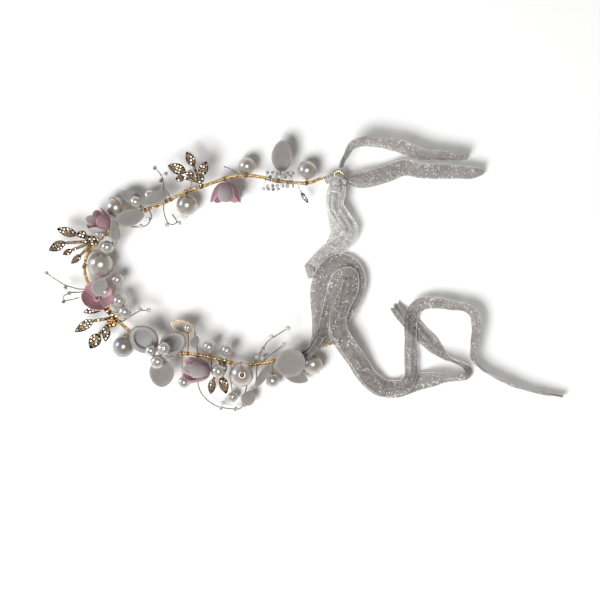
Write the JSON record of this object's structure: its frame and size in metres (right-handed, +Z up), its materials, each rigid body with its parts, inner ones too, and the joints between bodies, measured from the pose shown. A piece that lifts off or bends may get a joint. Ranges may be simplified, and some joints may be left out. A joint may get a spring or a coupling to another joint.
{
  "type": "flower crown",
  "caption": "Open wire hair vine with pearls, resin flowers, frosted petals, stone-set leaves, crystal twigs and organza ribbon ties, lying flat.",
  "frame": {"origin": "middle of the head opening, on the surface that the crown lies on", "axes": "+Z up from that surface; +X along the crown towards its open end and the ribbon tails; +Y towards the upper arm"},
  "size_m": [0.3005, 0.1597, 0.0237],
  "materials": {
    "gold_wire": "bright",
    "gold_winding": "bright, wound",
    "pearl": "pearl lustre",
    "pink_resin": "satin, slightly see-through",
    "blush_resin": "frosted",
    "frosted_resin": "frosted, finely ribbed",
    "gauze": "stiffened gauze",
    "antique_gold": "antiqued casting",
    "rhinestone": "cut stone",
    "silver_wire": "bright",
    "crystal": "clear bead",
    "organza": "sheer, with a glittering thread"
  },
  "bodies": {
    "crown": {"base_wire": "gold_wire", "wrapping_wire": "gold_winding", "upper_eyelet": "gold_wire", "lower_eyelet": "gold_wire", "pearl_threading_wires": "gold_wire", "flower_pins": "gold_wire", "white_flower_petal_1": "frosted_resin", "white_flower_petal_2": "frosted_resin", "white_flower_petal_3": "frosted_resin", "long_petal": "frosted_resin", "slim_petal": "frosted_resin", "tall_petal": "frosted_resin", "round_petal": "frosted_resin", "low_petal": "frosted_resin", "narrow_petal": "frosted_resin", "small_petals": "frosted_resin", "gauze_drop": "gauze", "petal_wires": "gold_wire", "leaf_spray_1": "antique_gold", "leaf_spray_2": "antique_gold", "leaf_spray_3": "antique_gold", "leaf_spray_4": "antique_gold", "leaf_stones": "rhinestone", "upper_bead_pearls": "pearl", "lower_bead_pearls": "pearl", "bead_wires": "gold_wire", "silver_wires_left": "silver_wire", "silver_wires_top": "silver_wire", "silver_wires_lower": "silver_wire", "silver_leaf": "silver_wire", "crystals_left": "crystal", "crystals_top": "crystal", "crystals_lower": "crystal", "crystal_cluster": "crystal", "ribbon_upper_knot": "organza", "ribbon_lower_knot": "organza"},
    "pearl_1": {"pearl_1": "pearl"},
    "pearl_2": {"pearl_2": "pearl"},
    "pearl_3": {"pearl_3": "pearl"},
    "pearl_4": {"pearl_4": "pearl"},
    "pearl_5": {"pearl_5": "pearl"},
    "pearl_6": {"pearl_6": "pearl"},
    "pearl_7": {"pearl_7": "pearl"},
    "pearl_8": {"pearl_8": "pearl"},
    "flower_1": {"pink_flower_1": "pink_resin", "inner_petal_1": "blush_resin"},
    "flower_2": {"pink_flower_2": "pink_resin", "inner_petal_2": "blush_resin"},
    "flower_3": {"pink_flower_3": "pink_resin"},
    "flower_4": {"pink_flower_4": "pink_resin", "inner_petal_4": "blush_resin"},
    "tail_a": {"ribbon_tail_a": "organza"},
    "tail_b": {"ribbon_tail_b": "organza"},
    "upper_loop": {"ribbon_upper_loop": "organza"},
    "lower_ribbon": {"ribbon_lower_outer": "organza", "ribbon_lower_inner": "organza"},
    "tail_c": {"ribbon_tail_c": "organza"},
    "tail_d": {"ribbon_tail_d": "organza"}
  },
  "joints": [
    {"name": "pearl_1_spin", "type": "hinge", "parent": "crown", "child": "pearl_1", "pos_m": [-0.0662, 0.003, 0.0075], "axis": [-0.9929, 0, 0.1191], "continuous": true},
    {"name": "pearl_2_spin", "type": "hinge", "parent": "crown", "child": "pearl_2", "pos_m": [-0.0574, 0.036, 0.0066], "axis": [0.5486, -0.798, 0.2494], "continuous": true},
    {"name": "pearl_3_spin", "type": "hinge", "parent": "crown", "child": "pearl_3", "pos_m": [-0.0162, 0.0375, 0.0062], "axis": [0, 0.9578, 0.2873], "continuous": true},
    {"name": "pearl_4_spin", "type": "hinge", "parent": "crown", "child": "pearl_4", "pos_m": [0.0186, 0.06, 0.0056], "axis": [0, -0.8575, 0.5145], "continuous": true},
    {"name": "pearl_5_spin", "type": "hinge", "parent": "crown", "child": "pearl_5", "pos_m": [0.0534, 0.0576, 0.0056], "axis": [0, -0.9439, 0.3304], "continuous": true},
    {"name": "pearl_6_spin", "type": "hinge", "parent": "crown", "child": "pearl_6", "pos_m": [-0.053, -0.0444, 0.0062], "axis": [0.4364, 0.8729, 0.2182], "continuous": true},
    {"name": "pearl_7_spin", "type": "hinge", "parent": "crown", "child": "pearl_7", "pos_m": [0.0154, -0.0606, 0.0144], "axis": [0.0995, 0, 0.995], "continuous": true},
    {"name": "pearl_8_spin", "type": "hinge", "parent": "crown", "child": "pearl_8", "pos_m": [0.0568, -0.0548, 0.0056], "axis": [-0.5715, 0.8165, 0.0816], "continuous": true},
    {"name": "flower_1_turn", "type": "hinge", "parent": "crown", "child": "flower_1", "pos_m": [-0.0615, 0.025, 0.0126], "axis": [-0.8301, 0.47, 0.3], "range_deg": [-15, 15]},
    {"name": "flower_2_turn", "type": "hinge", "parent": "crown", "child": "flower_2", "pos_m": [-0.068, -0.0168, 0.0072], "axis": [0.0496, 0.4467, 0.8933], "range_deg": [-12, 12]},
    {"name": "flower_3_turn", "type": "hinge", "parent": "crown", "child": "flower_3", "pos_m": [0.0064, 0.0502, 0.009], "axis": [0, -1, 0], "continuous": true},
    {"name": "flower_4_turn", "type": "hinge", "parent": "crown", "child": "flower_4", "pos_m": [-0.0032, -0.0584, 0.0105], "axis": [-0.9524, 0.0501, 0.3008], "range_deg": [-15, 15]},
    {"name": "tail_a_swing", "type": "hinge", "parent": "crown", "child": "tail_a", "pos_m": [0.07167, 0.05439, 0.004], "axis": [0, 0, 1], "range_deg": [-4, 25]},
    {"name": "tail_b_swing", "type": "hinge", "parent": "crown", "child": "tail_b", "pos_m": [0.07167, 0.05439, 0.004], "axis": [0, 0, 1], "range_deg": [-25, 4]},
    {"name": "upper_loop_swing", "type": "hinge", "parent": "crown", "child": "upper_loop", "pos_m": [0.07167, 0.05439, 0.004], "axis": [0, 0, 1], "range_deg": [-8, 12]},
    {"name": "lower_ribbon_swing", "type": "hinge", "parent": "crown", "child": "lower_ribbon", "pos_m": [0.05564, -0.04576, 0.004], "axis": [0, 0, 1], "range_deg": [-6, 6]},
    {"name": "tail_c_swing", "type": "hinge", "parent": "lower_ribbon", "child": "tail_c", "pos_m": [0.10164, -0.06926, 0.004], "axis": [0, 0, 1], "range_deg": [-15, 3]},
    {"name": "tail_d_swing", "type": "hinge", "parent": "lower_ribbon", "child": "tail_d", "pos_m": [0.10164, -0.06926, 0.004], "axis": [0, 0, 1], "range_deg": [-3, 15]}
  ]
}
